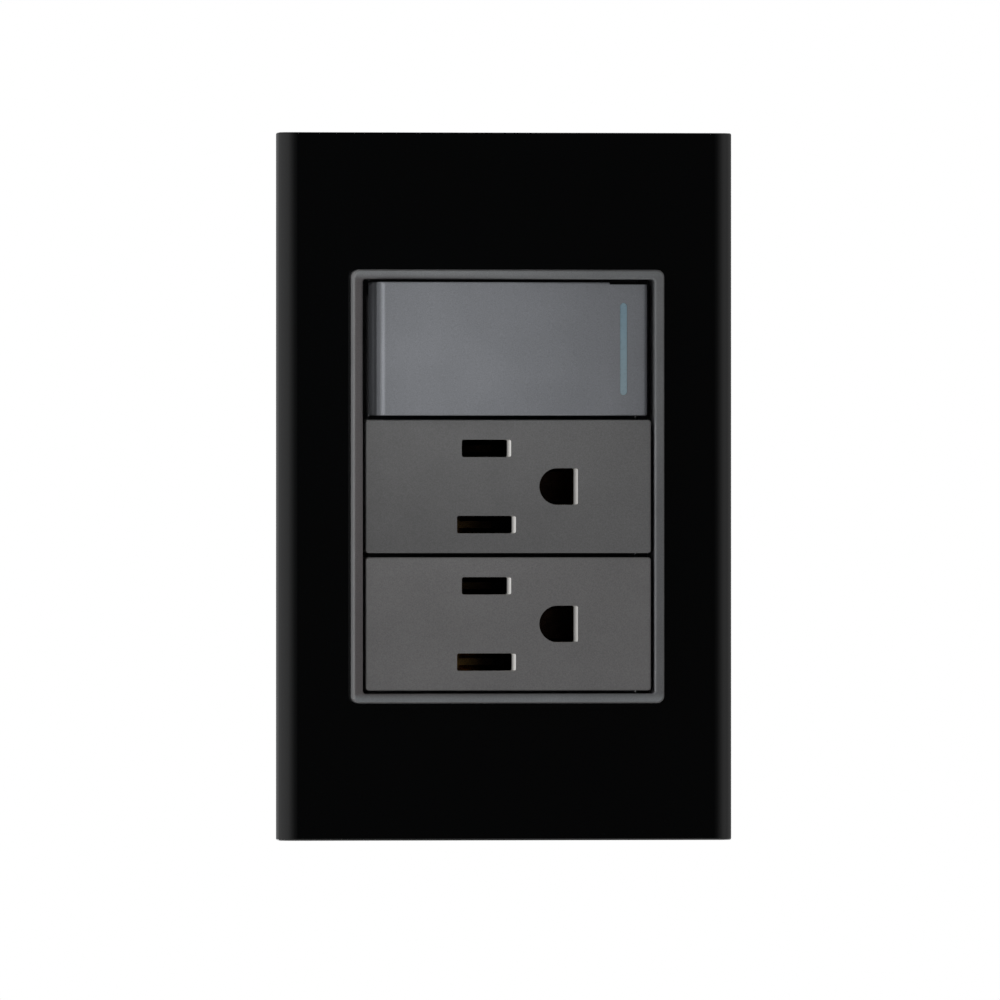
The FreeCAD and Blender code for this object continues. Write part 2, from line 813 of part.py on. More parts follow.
def make_rocker_cap():
    cap = rocker_section(0.0, rocker_y, rocker_rim, True)
    soft = []
    for edge in cap.Edges:
        if edge.BoundBox.ZLength < same_place and edge.BoundBox.YMin < rocker_rim - bond:
            soft.append(edge)
    cap = cap.makeFillet(rocker_edge, soft)
    cap = cap.cut(rocker_section(rocker_wall, rocker_inside, rocker_rim + overrun, False))
    cap = cap.cut(box(rocker_half - notch_length, rocker_half + rocker_depth, rocker_y - overrun,
                      rocker_rim + overrun, face_half_height - notch_depth, face_half_height + overrun))
    hooks = []
    arm_in = cradle_half_width + cap_hook_gap
    barb_front = cradle_back + cap_hook_play
    barb_back = barb_front + cap_hook_barb_height
    for x in (-cap_hook_x, cap_hook_x):
        left = x - cap_hook_width / 2
        arm = box(left, left + cap_hook_width, rocker_inside - bond, barb_back,
                  arm_in, face_half_height - rocker_wall + bond)
        barb = box(left, left + cap_hook_width, barb_front, barb_back, arm_in - cap_hook_barb, arm_in + bond)
        hook = fused([arm, barb])
        hooks.append(hook)
        hooks.append(mirrored_z(hook))
    cap = fused([cap] + hooks)
    slot_half = lens_width / 2
    behind = rocker_inside + overrun
    cap = cap.cut(slot_block(lens_height / 2, slot_half, rocker_y - overrun, behind, lens_x, 0.0))
    lip_y = rocker_inside - lens_lip_thickness
    return cap.cut(slot_block(lens_height / 2 + lens_lip, slot_half + lens_lip, lip_y, behind, lens_x, 0.0))


def make_lens():
    lip_y = rocker_inside - lens_lip_thickness
    shrink = lens_play
    strip = slot_block(lens_height / 2 - shrink, lens_width / 2 - shrink, rocker_y + lens_sink,
                       lip_y + bond, lens_x, 0.0)
    lip = slot_block(lens_height / 2 + lens_lip - shrink, lens_width / 2 + lens_lip - shrink, lip_y,
                     rocker_inside, lens_x, 0.0)
    return fused([strip, lip])


def make_cradle():
    root = cradle_back - bond
    plate = block(cradle_half, cradle_half_width, rocker_inside, cradle_back)
    barrel = rod(barrel_radius, Vector(0, root, 0), Vector(0, barrel_end, 0))
    web = block(cheek_thickness / 2, cheek_outer - cheek_thickness / 2, root, pivot_y - web_end_gap)
    arm = box(-cheek_radius, cheek_radius, root, pivot_y, cheek_outer - cheek_thickness, cheek_outer)
    inner = Vector(0, pivot_y, cheek_outer - cheek_thickness)
    boss = rod(cheek_radius, inner, Vector(0, pivot_y, cheek_outer))
    pin = rod(pin_radius, inner, Vector(0, pivot_y, pin_end))
    cheek = fused([arm, boss, pin])
    cradle = fused([plate, barrel, web, cheek, mirrored_z(cheek)])
    bore = rod(plunger_radius + plunger_clearance, back * cradle_back, back * (barrel_end + overrun))
    return cradle.cut(bore)


def make_plunger():
    top = plunger_tip - plunger_length
    taper_y = plunger_tip - plunger_tip_radius - plunger_taper
    ball_y = plunger_tip - plunger_tip_radius
    stem = rod(plunger_radius, Vector(0, top, 0), Vector(0, taper_y, 0))
    cone = Part.makeCone(plunger_radius, plunger_tip_radius, plunger_taper, Vector(0, taper_y, 0), back)
    ball = Part.makeSphere(plunger_tip_radius, Vector(0, ball_y, 0), back, -90, 90, 360)
    return fused([stem, cone, ball])


def make_spring():
    # Compression spring between the bottom of the bore and the plunger's top.
    top = plunger_tip - plunger_length
    start = cradle_back + spring_wire / 2 + spring_end_gap
    height = top - spring_wire / 2 - spring_end_gap - start
    helix = Part.makeHelix(height / spring_turns, height, spring_radius)
    section = Part.Wire([Part.makeCircle(spring_wire / 2, Vector(spring_radius, 0, 0), Vector(0, 1, 0))])
    coil = Part.Wire(helix).makePipeShell([section], True, True)
    coil.rotate(Vector(0, 0, 0), right, -90)
    coil.translate(Vector(0, start, 0))
    return coil


def make_deck():
    before = deck_front - overrun
    behind = ledge_y + overrun
    half_height = face_half_height - deck_end_edge
    plate = rounded_block(face_half - deck_edge, half_height, cover_corner, deck_front, ledge_y)
    plate = plate.cut(block(deck_opening / 2, bearing_inner, before, behind))
    plate = plate.cut(rod(lamp_radius + lamp_play, Vector(lamp_x, before, 0), Vector(lamp_x, behind, 0)))
    bearing = box(-bearing_width / 2, bearing_width / 2, deck_front, pivot_y + bearing_reach,
                  bearing_inner, bearing_outer)
    deck = fused([plate, bearing, mirrored_z(bearing)])
    low = bearing_inner - bond
    high = bearing_outer + bond
    bore = rod(pin_radius + pin_clearance, Vector(0, pivot_y, low), Vector(0, pivot_y, high))
    entry = box(-bearing_entry / 2, bearing_entry / 2, before, pivot_y, low, high)
    seat = fused([bore, entry])
    return deck.cut(seat).cut(mirrored_z(seat))


def make_moving_contact():
    bar = box(-contact_length / 2, contact_length / 2, contact_pivot - contact_thickness / 2,
              contact_pivot + contact_thickness / 2, -contact_width / 2, contact_width / 2)
    pivot = back * contact_pivot
    side = up * contact_width
    hump = rod(hump_radius, pivot - side / 2, pivot + side / 2)
    bar = fused([bar, hump])
    groove_radius = fulcrum_radius + running_gap
    bar = bar.cut(rod(groove_radius, pivot - side, pivot + side))
    room = fulcrum_base + running_gap
    depth = hump_radius + overrun
    mouth = polygon_prism([
        Vector(-groove_radius, contact_pivot, -contact_width),
        Vector(groove_radius, contact_pivot, -contact_width),
        Vector(room, contact_pivot + depth, -contact_width),
        Vector(-room, contact_pivot + depth, -contact_width),
    ], up * (2 * contact_width))
    bar = bar.cut(mouth)
    rivet = Vector(rivet_x, contact_pivot, 0)
    return bar.cut(rod(rivet_shank + rivet_play, rivet - back * overrun, rivet + back * overrun))


def make_moving_rivet():
    top = contact_pivot - contact_thickness / 2
    under = contact_pivot + contact_thickness / 2
    shank = rod(rivet_shank, Vector(rivet_x, top, 0), Vector(rivet_x, under, 0))
    head = rod(rivet_radius, Vector(rivet_x, under, 0), Vector(rivet_x, under + rivet_head, 0))
    return fused([shank, head])


def make_fixed_rivet():
    # Its face is the running gap away from where the moving rivet comes to when the switch is on.
    seat = Vector(rivet_x, strip_front, 0)
    head = rod(rivet_radius, Vector(rivet_x, fixed_contact_y, 0), seat)
    shank = rod(rivet_shank, seat, seat + back * terminal_plate)
    return fused([head, shank])


def make_common_terminal():
    half = strip_width / 2
    plate = terminal_plate_at(0.0, strip_back)
    strip = box(-plate_out, fulcrum_base, strip_front, strip_back, -half, half)
    ridge = polygon_prism([
        Vector(-fulcrum_radius, contact_pivot, -half),
        Vector(fulcrum_radius, contact_pivot, -half),
        Vector(fulcrum_base, strip_front, -half),
        Vector(-fulcrum_base, strip_front, -half),
    ], up * strip_width)
    crest = rod(fulcrum_radius, Vector(0, contact_pivot, -half), Vector(0, contact_pivot, half))
    return fused([plate, strip, ridge, crest])


def make_load_terminal():
    half = strip_width / 2
    plate = mirrored_x(terminal_plate_at(0.0, strip_back))
    strip = box(rivet_x - rivet_radius - strip_end, plate_out, strip_front, strip_back, -half, half)
    free_end = [edge for edge in edges_along(strip, back) if edge.BoundBox.XMax < rivet_x]
    strip = strip.makeFillet(rivet_radius, free_end)
    front = Vector(rivet_x, strip_front - overrun, 0)
    hole = rod(rivet_shank + rivet_play, front, Vector(rivet_x, strip_back + overrun, 0))
    return fused([plate, strip]).cut(hole)


def make_switch_housing():
    tub = module_tub(ledge_y, body_half_height - body_wall)
    ribs = []
    for x in (-plate_in + rib_inset, 0.0, rivet_x + rib_inset, plate_in - rib_inset):
        ribs.append(block(body_wall / 2, strip_width / 2, strip_back, cavity_back, x, 0.0))
    # Two posts stop the rocking contact's left end while the switch is at rest.
    arm = contact_length / 2
    stop_y = contact_pivot + contact_thickness / 2 * math.cos(swing) + arm * math.sin(swing) + running_gap
    post_inner = strip_width / 2 + running_gap
    post_outer = contact_width / 2 + running_gap
    post = box(-arm, -arm + body_wall, stop_y, cavity_back, post_inner, post_outer)
    housing = fused([tub, post, mirrored_z(post)] + ribs)
    for cut in body_terminal_cuts(0.0):
        housing = housing.cut(cut).cut(mirrored_x(cut))
    return housing


def bent_wire(points, bend, radius):
    # Straight runs joined by arcs of one radius, swept by a circle.
    edges = []
    start = points[0]
    for before, corner, after in zip(points, points[1:], points[2:]):
        into = (before - corner).normalize()
        out = (after - corner).normalize()
        entry = corner + into * bend
        leave = corner + out * bend
        middle = corner + (into + out) * (bend * (1 - math.sqrt(0.5)))
        edges.append(Part.makeLine(start, entry))
        edges.append(Part.Arc(entry, middle, leave).toShape())
        start = leave
    edges.append(Part.makeLine(start, points[-1]))
    path = Part.Wire(edges)
    section = Part.Wire([Part.makeCircle(radius, points[0], points[1] - points[0])])
    return path.makePipeShell([section], True, True)


def make_lamp():
    dome_front = ledge_y - lamp_dome
    tip = dome_front + lamp_radius
    can_end = ledge_y + lamp_body
    body = rod(lamp_radius, Vector(lamp_x, tip, 0), Vector(lamp_x, can_end, 0))
    dome = Part.makeSphere(lamp_radius, Vector(lamp_x, tip, 0), back, -90, 90, 360)
    seat = Vector(lamp_x, ledge_y, 0)
    flange = rod(lamp_flange, seat, seat + back * lamp_flange_thickness)
    plate_front_y = terminal_depth - terminal_half
    load_x = (plate_out + plate_in) / 2
    short = rod(lead_radius, Vector(load_x, can_end - bond, 0), Vector(load_x, plate_front_y, 0))
    far_x = lamp_x + lead_spread
    turn_y = (can_end + plate_front_y) / 2
    route = [
        Vector(far_x, can_end - bond, 0),
        Vector(far_x, turn_y, 0),
        Vector(far_x, turn_y, lead_z),
        Vector(-load_x, turn_y, lead_z),
        Vector(-load_x, turn_y, terminal_half / 2),
        Vector(-load_x, plate_front_y, terminal_half / 2),
    ]
    long = bent_wire(route, lead_bend, lead_radius)
    return fused([body, dome, flange, short, long])


def switch_nodes(z):
    tilted = {
        "rocker_cap": make_rocker_cap(),
        "indicator_lens": make_lens(),
        "rocker_cradle": make_cradle(),
        "plunger": make_plunger(),
        "plunger_spring": make_spring(),
    }
    swung = {
        "moving_contact": make_moving_contact(),
        "moving_contact_rivet": make_moving_rivet(),
    }
    pieces = {key: turned_z(shape, rest_tilt, pivot_y) for key, shape in tilted.items()}
    for key, shape in swung.items():
        pieces[key] = turned_z(shape, -contact_swing, contact_pivot)
    pieces["switch_housing"] = make_switch_housing()
    pieces["switch_deck"] = make_deck()
    pieces["common_terminal"] = make_common_terminal()
    pieces["load_terminal"] = make_load_terminal()
    pieces["fixed_contact_rivet"] = make_fixed_rivet()
    pieces["indicator_lamp"] = make_lamp()
    screw = terminal_screw(0.0)
    clamp = clamp_plate(0.0)
    pieces["switch_terminal_screws"] = Part.makeCompound([screw, mirrored_x(screw)])
    pieces["switch_clamps"] = Part.makeCompound([clamp, mirrored_x(clamp)])
    return {key: moved_z(shape, z) for key, shape in pieces.items()}


def all_nodes():
    nodes = {
        "cover_plate": make_cover_plate(),
        "bezel_frame": make_bezel_frame(),
        "support_frame": make_support_frame(),
        "mounting_screws": Part.makeCompound([
            make_box_screw(-box_screw_z), make_box_screw(box_screw_z)]),
    }
    nodes.update(switch_nodes(top_module_z))
    for number in range(1, module_count):
        nodes.update(socket_nodes("socket_" + str(number), top_module_z - number * module_pitch))
    return nodes


os.makedirs("parts", exist_ok=True)
for name, shape in all_nodes().items():
    print(name, len(shape.Solids), shape.isValid(), round(shape.Volume, 2))
    shape.exportStep("parts/" + name + ".step")
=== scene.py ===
import json
import math

import bmesh
import bpy
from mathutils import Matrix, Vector


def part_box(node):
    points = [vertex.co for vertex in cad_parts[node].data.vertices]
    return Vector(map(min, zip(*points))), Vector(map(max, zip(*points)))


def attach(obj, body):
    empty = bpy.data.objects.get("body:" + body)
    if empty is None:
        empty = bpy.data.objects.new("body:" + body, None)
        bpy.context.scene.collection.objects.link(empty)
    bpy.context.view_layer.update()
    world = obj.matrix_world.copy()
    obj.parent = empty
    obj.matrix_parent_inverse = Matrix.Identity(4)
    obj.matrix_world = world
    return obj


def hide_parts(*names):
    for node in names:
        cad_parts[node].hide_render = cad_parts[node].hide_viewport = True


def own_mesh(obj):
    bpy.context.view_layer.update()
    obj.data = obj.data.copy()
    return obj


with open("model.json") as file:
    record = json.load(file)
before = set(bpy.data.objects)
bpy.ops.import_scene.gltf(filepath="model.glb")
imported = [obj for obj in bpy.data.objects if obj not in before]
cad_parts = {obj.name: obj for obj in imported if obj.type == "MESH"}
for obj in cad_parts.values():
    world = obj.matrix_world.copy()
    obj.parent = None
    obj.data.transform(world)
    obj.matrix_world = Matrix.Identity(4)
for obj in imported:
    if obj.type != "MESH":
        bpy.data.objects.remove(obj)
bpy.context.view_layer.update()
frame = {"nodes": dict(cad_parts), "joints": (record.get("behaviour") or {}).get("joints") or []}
nodes = frame["nodes"]

MM = 0.001

# The part's own measures, in metres
MODULE_PITCH = 22.9 * MM
FACE_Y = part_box("socket_1_cover")[0][1]
FACE_HALF_WIDTH = 23.0 * MM
FACE_HALF_HEIGHT = 10.6 * MM
CHAMBER_HALF = 15.0 * MM
SCREW_HEAD_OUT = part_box("switch_terminal_screws")[1][0]

# Where paint, painted shade, painted glow and painted light begin and end, in metres
PAINT_DEPTH = 0.25 * MM
PAINT_FADE = 0.1 * MM
RAIL_START = 34.3 * MM
RAIL_BLEND = 1.2 * MM
BAR_REACH = 24.0 * MM
BAR_FADE = (-5 * MM, 15 * MM)
OUTWARD_BLEND = 10 * MM
SOFT_EDGE = 0.5 * MM
END_SHADE_DEPTH = 1.5 * MM
GLOW_DEPTH = 9.0 * MM
SLOT_REACH = 14.0 * MM
SLOT_FADE = 0.5 * MM
PAINTED_LIGHT_REACH = (-12 * MM, 20 * MM)
GLOW_FADE = (4 * MM, 10 * MM)
SHADE_FADE_WIDTH = 2 * MM
GLINT_TOP = (-5.4 * MM, -5.2 * MM)
GLINT_END = (-6.5 * MM, -1.5 * MM)
SOCKET_GAP = (-14 * MM, -8 * MM)
LOWEST_SLOT_TOP = (-28 * MM, -20 * MM)
DRIVE_SHADE_DEPTH = (0.1 * MM, 0.6 * MM)
STRIPE_HALF = 8 * MM

# Shares of a surface's direction that lie along X: walls that face left, which get the painted glow, and the
# key's drafted ends, which get painted shade
FACING_LEFT = (-0.9, -0.6)
END_DRAFT = (0.25, 0.9)

# The box screws, in millimetres about their own axis
HEAD_FRONT = -2.9
HEAD_BACK = -1.0
HEAD_RADIUS = 3.2
NECK_RADIUS = 1.45
THREAD_LENGTH = 20.0
THREAD_PITCH = 0.8
THREAD_RADIUS = 1.75
THREAD_DEPTH = 0.36
POINT_LENGTH = 1.0
POINT_SHARE = 0.62
SCREW_STEPS = 36
ROWS_PER_TURN = 8
DRIVE_WIDTH = 0.9
DRIVE_DEPTH = 1.9
DRIVE_LENGTH = 8

# The plunger's spring, in millimetres from the key's pivot along the barrel
WIRE_RADIUS = 0.225
WIRE_SIDES = 10
GROUND_SHARE = 0.6
COIL_RADIUS = 1.5
COIL_START = -7.625
COIL_END = 1.925
COIL_STEPS = 28
CLOSED_PITCH = 0.47
OPEN_TURNS = 6

# The stage, in metres
FLOOR_RADIUS = 0.95
FLOOR_HEIGHT = -0.12
FLOOR_STEPS = 96
CAMERA_AZIMUTH = math.radians(-6.5)
CAMERA_DISTANCE = 3.0
FRAME_WIDTH = 0.1667
AIM_ASIDE = -0.4 * MM
AIM_HEIGHT = -2.25 * MM
AIM_FORWARD = 5.8 * MM

# The surroundings by direction from the front, in degrees: dark ahead of the object and behind it,
# bright beside it.
SURROUND = [
    (-180, 0.12), (-150, 0.34), (-105, 0.8), (-74, 0.81), (-47, 0.68), (-23, 0.29), (-11, 0.15),
    (0, 0.05), (7, 0.038), (19, 0.076), (31, 0.20), (43, 0.33), (56, 0.51), (70, 0.58), (86, 0.48),
    (105, 0.5), (150, 0.2), (180, 0.12)]
# They dim between these shares of the way straight up or down, to this level.
STEEP_START = 0.35
STEEP_END = 0.95
STEEP_LEVEL = 0.45

# Soft lights: name, place, aim, size and power
SOFT_LIGHTS = [
    ("low_left_softbox", (-0.4, -0.42, -0.16), (-0.01, 0.0, 0.0), 0.22, 0.35),
    ("left_side_light", (-0.5, -0.012, 0.02), (-0.01, 0.0, 0.0), 0.02, 1.4),
    ("back_left_softbox", (-0.7, 0.9, 0.5), (0.0, 0.0, 0.0), 0.5, 5.0),
    ("back_right_softbox", (0.9, 0.7, 0.3), (0.0, 0.0, 0.0), 0.4, 3.0),
    ("floor_light", (0.0, 0.8, 1.1), (0.0, 0.1, -0.12), 1.2, 9.0)]
BEAM_PLACE = (-0.121, -0.521, 0.189)
BEAM_AIM = (-0.012, -0.009, 0.0205)
BEAM_POWER = 2.5
BEAM_ANGLE = math.radians(6.5)
BEAM_SIZE = 0.02


def shade(colour, factor):
    return tuple(channel * factor for channel in colour)


def grey(level):
    return (level, level, level)


class Graph:
    """A node tree built up from a few named steps."""

    def __init__(self, tree):
        self.tree = tree

    def add(self, kind, **settings):
        node = self.tree.nodes.new(kind)
        for key, value in settings.items():
            setattr(node, key, value)
        return node

    def feed(self, socket, value):
        """Links a socket's value, or sets a constant; a colour of three channels is opaque."""
        if isinstance(value, bpy.types.NodeSocket):
            self.tree.links.new(value, socket)
        elif socket.type == "RGBA":
            socket.default_value = (*value[:3], 1.0)
        else:
            socket.default_value = value

    def math(self, operation, first, second=0.0, clamp=False):
        node = self.add("ShaderNodeMath", operation=operation, use_clamp=clamp)
        self.feed(node.inputs[0], first)
        self.feed(node.inputs[1], second)
        return node.outputs[0]

    def magnitude(self, value):
        return self.math("ABSOLUTE", value)

    def times(self, first, *others):
        for other in others:
            first = self.math("MULTIPLY", first, other)
        return first

    def between(self, value, low, high, to_low=0.0, to_high=1.0):
        """Passes smoothly from one level to the other while the value goes from low to high."""
        node = self.add("ShaderNodeMapRange", interpolation_type="SMOOTHSTEP")
        self.feed(node.inputs["Value"], value)
        node.inputs["From Min"].default_value = low
        node.inputs["From Max"].default_value = high
        node.inputs["To Min"].default_value = to_low
        node.inputs["To Max"].default_value = to_high
        return node.outputs["Result"]

    def colours(self, value, stops):
        node = self.add("ShaderNodeValToRGB")
        self.feed(node.inputs["Fac"], value)
        ramp = node.color_ramp
        while len(ramp.elements) < len(stops):
            ramp.elements.new(0.5)
        for element, (position, colour) in zip(ramp.elements, stops):
            element.position = position
            element.color = (*colour, 1.0)
        return node.outputs["Color"]

    def split(self, vector):
        node = self.add("ShaderNodeSeparateXYZ")
        self.feed(node.inputs[0], vector)
        return node.outputs


class Finish(Graph):
    """A node material; its lengths are in metres in the frame that all the nodes share."""

    def __init__(self, name):
        self.material = bpy.data.materials.new(name)
        self.material.use_nodes = True
        super().__init__(self.material.node_tree)
        self.shader = self.tree.nodes["Principled BSDF"]
        self.place = self.add("ShaderNodeTexCoord").outputs["Object"]

    def set(self, **values):
        for key, value in values.items():
            self.feed(self.shader.inputs[key.replace("_", " ")], value)

    def base(self):
        """The colour that has been set so far."""
        return self.shader.inputs["Base Color"].links[0].from_socket

    def mix(self, factor, first, second, blend="MIX"):
        node = self.add("ShaderNodeMix", data_type="RGBA", blend_type=blend)
        self.feed(node.inputs[0], factor)
        self.feed(node.inputs[6], first)
        self.feed(node.inputs[7], second)
        return node.outputs[2]

    def filtered(self, colour, tone_and_shade):
        return self.mix(1.0, colour, tone_and_shade, "MULTIPLY")

    def stretched(self, factors):
        node = self.add("ShaderNodeVectorMath", operation="MULTIPLY")
        self.feed(node.inputs[0], self.place)
        node.inputs[1].default_value = factors
        return node.outputs[0]

    def noise(self, size, detail=2.0, place=None):
        node = self.add("ShaderNodeTexNoise")
        self.feed(node.inputs["Vector"], place or self.place)
        node.inputs["Scale"].default_value = 1.0 / size
        node.inputs["Detail"].default_value = detail
        return node.outputs["Fac"]

    def uneven(self, noise, low, high):
        """A level that wanders between two values with the noise."""
        return self.between(noise, 0.3, 0.7, low, high)

    def speckled(self, colour, size, spread, detail=3.0):
        """The colour with a fine grain that is spread to either side of it."""
        return self.colours(self.noise(size, detail), [
            (0.3, shade(colour, 1.0 - spread)), (0.5, colour), (0.7, shade(colour, 1.0 + spread))])

    def grain(self, height, strength, distance):
        node = self.add("ShaderNodeBump")
        node.inputs["Strength"].default_value = strength
        node.inputs["Distance"].default_value = distance
        self.feed(node.inputs["Height"], height)
        self.feed(self.shader.inputs["Normal"], node.outputs["Normal"])

    def soft_edges(self, radius):
        """Light rolls round the edges as it does where thick paint rounds them off."""
        rounded = self.add("ShaderNodeBevel", samples=6)
        rounded.inputs["Radius"].default_value = radius
        bump = self.shader.inputs["Normal"].links[0].from_node
        self.feed(bump.inputs["Normal"], rounded.outputs["Normal"])

    def axes(self):
        return self.split(self.place)

    def facing(self):
        """The surface's direction in the frame that all the nodes share."""
        turned = self.add("ShaderNodeVectorTransform", vector_type="NORMAL",
                          convert_from="WORLD", convert_to="OBJECT")
        self.feed(turned.inputs[0], self.add("ShaderNodeNewGeometry").outputs["Normal"])
        return self.split(turned.outputs[0])


def satin_paint(name, colour, metallic, roughness):
    """Graphite paint: a dense metallic grain, faint clouds and a slightly uneven sheen."""
    finish = Finish(name)
    fine = finish.speckled(colour, 0.16 * MM, 0.14)
    clouds = finish.colours(finish.noise(9 * MM), [(0.3, grey(0.96)), (0.7, grey(1.04))])
    finish.set(Base_Color=finish.filtered(fine, clouds), Metallic=metallic,
               Roughness=finish.uneven(finish.noise(0.3 * MM), roughness - 0.04, roughness + 0.04))
    finish.grain(finish.noise(0.22 * MM), 0.12, 0.02 * MM)
    return finish


def ring_paint():
    """The bezel's paint, with painted light and shade over it: one even tone round the outside,
    and on the front lighter, cool rails, darker upright bars and a warm left bar."""
    finish = satin_paint("bezel_paint", (0.33, 0.33, 0.334), 0.25, 0.42)
    x, _, z = finish.axes()
    # Painted light and shade on the front: the bars change in brightness from bottom to top, and the rails
    # and each bar get a tone of their own.
    up = finish.between(z, *BAR_FADE)
    left = finish.mix(up, (0.61, 0.56, 0.563), (0.5, 0.465, 0.468))
    right = finish.mix(up, (0.77, 0.785, 0.805), (0.92, 0.94, 0.955))
    bars = finish.mix(finish.between(x, -BAR_REACH, BAR_REACH), left, right)
    top = finish.between(z, -RAIL_START, RAIL_START)
    rails = finish.mix(top, (1.15, 1.21, 1.24), (1.04, 1.08, 1.095))
    end = finish.between(finish.magnitude(z), RAIL_START, RAIL_START + RAIL_BLEND)
    front = finish.mix(end, bars, rails)
    # Painted shade: faces that look outward get one even tone of their own.
    across, _, along = finish.facing()
    outward = finish.math("ADD", finish.times(across, x), finish.times(along, z))
    tone_and_shade = finish.mix(finish.between(outward, 0.0, OUTWARD_BLEND), front, (0.62, 0.62, 0.625))
    finish.set(Base_Color=finish.filtered(finish.base(), tone_and_shade))
    finish.soft_edges(SOFT_EDGE)
    return finish


def rocker_paint():
    """The key's paint, with painted shade that darkens it towards the front edges of the drafted ends."""
    finish = satin_paint("rocker_paint", (0.384, 0.398, 0.43), 0.25, 0.46)
    # Painted shade: the drafted ends darken towards their front edges.
    end = finish.between(finish.magnitude(finish.facing()["X"]), *END_DRAFT)
    front = finish.between(finish.axes()["Y"], FACE_Y, FACE_Y + END_SHADE_DEPTH, 1.0, 0.0)
    tone_and_shade = finish.colours(finish.times(end, front), [(0.0, grey(1.0)), (1.0, grey(0.36))])
    finish.set(Base_Color=finish.filtered(finish.base(), tone_and_shade))
    return finish


def moulded(name, colour, roughness, spread=0.06):
    """Matte moulded plastic: a spark-eroded texture and slightly shinier worn patches."""
    finish = Finish(name)
    finish.set(Base_Color=finish.speckled(colour, 0.5 * MM, spread), Metallic=0.0,
               Roughness=finish.uneven(finish.noise(6 * MM, 3.0), roughness - 0.06, roughness + 0.06))
    finish.grain(finish.noise(0.3 * MM), 0.1, 0.03 * MM)
    return finish


def metal(name, colour, roughness, stretch, tarnish):
    """Bare metal with rolling or turning marks along one direction and a little tarnish."""
    finish = Finish(name)
    marks = finish.noise(0.12 * MM, 2.0, finish.stretched(stretch))
    patches = finish.between(finish.noise(2.5 * MM, 3.0), 0.45, 0.75)
    finish.set(Base_Color=finish.mix(patches, colour, shade(colour, tarnish)), Metallic=1.0,
               Roughness=finish.uneven(marks, roughness - 0.07, roughness + 0.09))
    finish.grain(marks, 0.08, 0.004 * MM)
    return finish


def zinc_plated(name):
    return metal(name, (0.55, 0.56, 0.58), 0.3, (0.3, 1.0, 1.0), 0.8)


def brass_strip(name):
    return metal(name, (0.66, 0.42, 0.15), 0.28, (1.0, 0.12, 1.0), 0.72)


def terminal_steel():
    """Plated screws with painted shade down in their drive slots."""
    finish = zinc_plated("terminal_steel")
    depth = finish.math("SUBTRACT", SCREW_HEAD_OUT, finish.magnitude(finish.axes()["X"]))
    # Painted shade: the heads darken with depth down in their drive slots.
    drive_shade = finish.between(depth, *DRIVE_SHADE_DEPTH)
    finish.set(Base_Color=finish.mix(drive_shade, finish.base(), (0.08, 0.075, 0.07)))
    return finish


def socket_brass():
    """Brass that is bright at the terminals, with painted shade darkening it where the plug's blades go in.

    Deep in the lower slot of each socket a little of it is left bright as a painted glint, most in socket_2."""
    finish = brass_strip("socket_brass")
    x, _, z = finish.axes()
    # Painted shade: the brass is darkened inside the chamber, where the slots lie.
    shade_inside = finish.between(finish.magnitude(x), CHAMBER_HALF - SHADE_FADE_WIDTH, CHAMBER_HALF, 1.0, 0.0)
    slot_shade = finish.colours(finish.noise(1.2 * MM, 3.0), [
        (0.35, (0.02, 0.012, 0.009)), (0.65, (0.035, 0.02, 0.014))])
    # Painted glint: a little brass is left bright deep in the lower slots, more in socket_2.
    below = finish.between(z, *GLINT_TOP, 1.0, 0.0)
    near_end = finish.between(x, *GLINT_END, 1.0, 0.0)
    lowest = finish.between(z, *LOWEST_SLOT_TOP, 0.85, 0.0)
    strength = finish.math("ADD", lowest, finish.between(z, *SOCKET_GAP, 0.16, 0.38))
    painted_glint = finish.times(below, near_end, strength)
    shade_share = finish.math("SUBTRACT", shade_inside, painted_glint, clamp=True)
    finish.set(Base_Color=finish.mix(shade_share, finish.base(), slot_shade))
    return finish


def glossy_plate():
    """Glossy black moulding with the faintest dust-fine sparkle in it."""
    finish = Finish("gloss_black_moulding")
    sparkle = finish.colours(finish.noise(0.2 * MM), [
        (0.35, (0.0002, 0.0004, 0.0006)), (0.55, (0.0008, 0.0013, 0.0017)),
        (0.75, (0.0022, 0.0034, 0.0042))])
    finish.set(Base_Color=sparkle, Metallic=0.0,
               Roughness=finish.uneven(finish.noise(12 * MM), 0.03, 0.06))
    finish.grain(finish.noise(18 * MM, 1.0), 0.02, 0.05 * MM)
    return finish


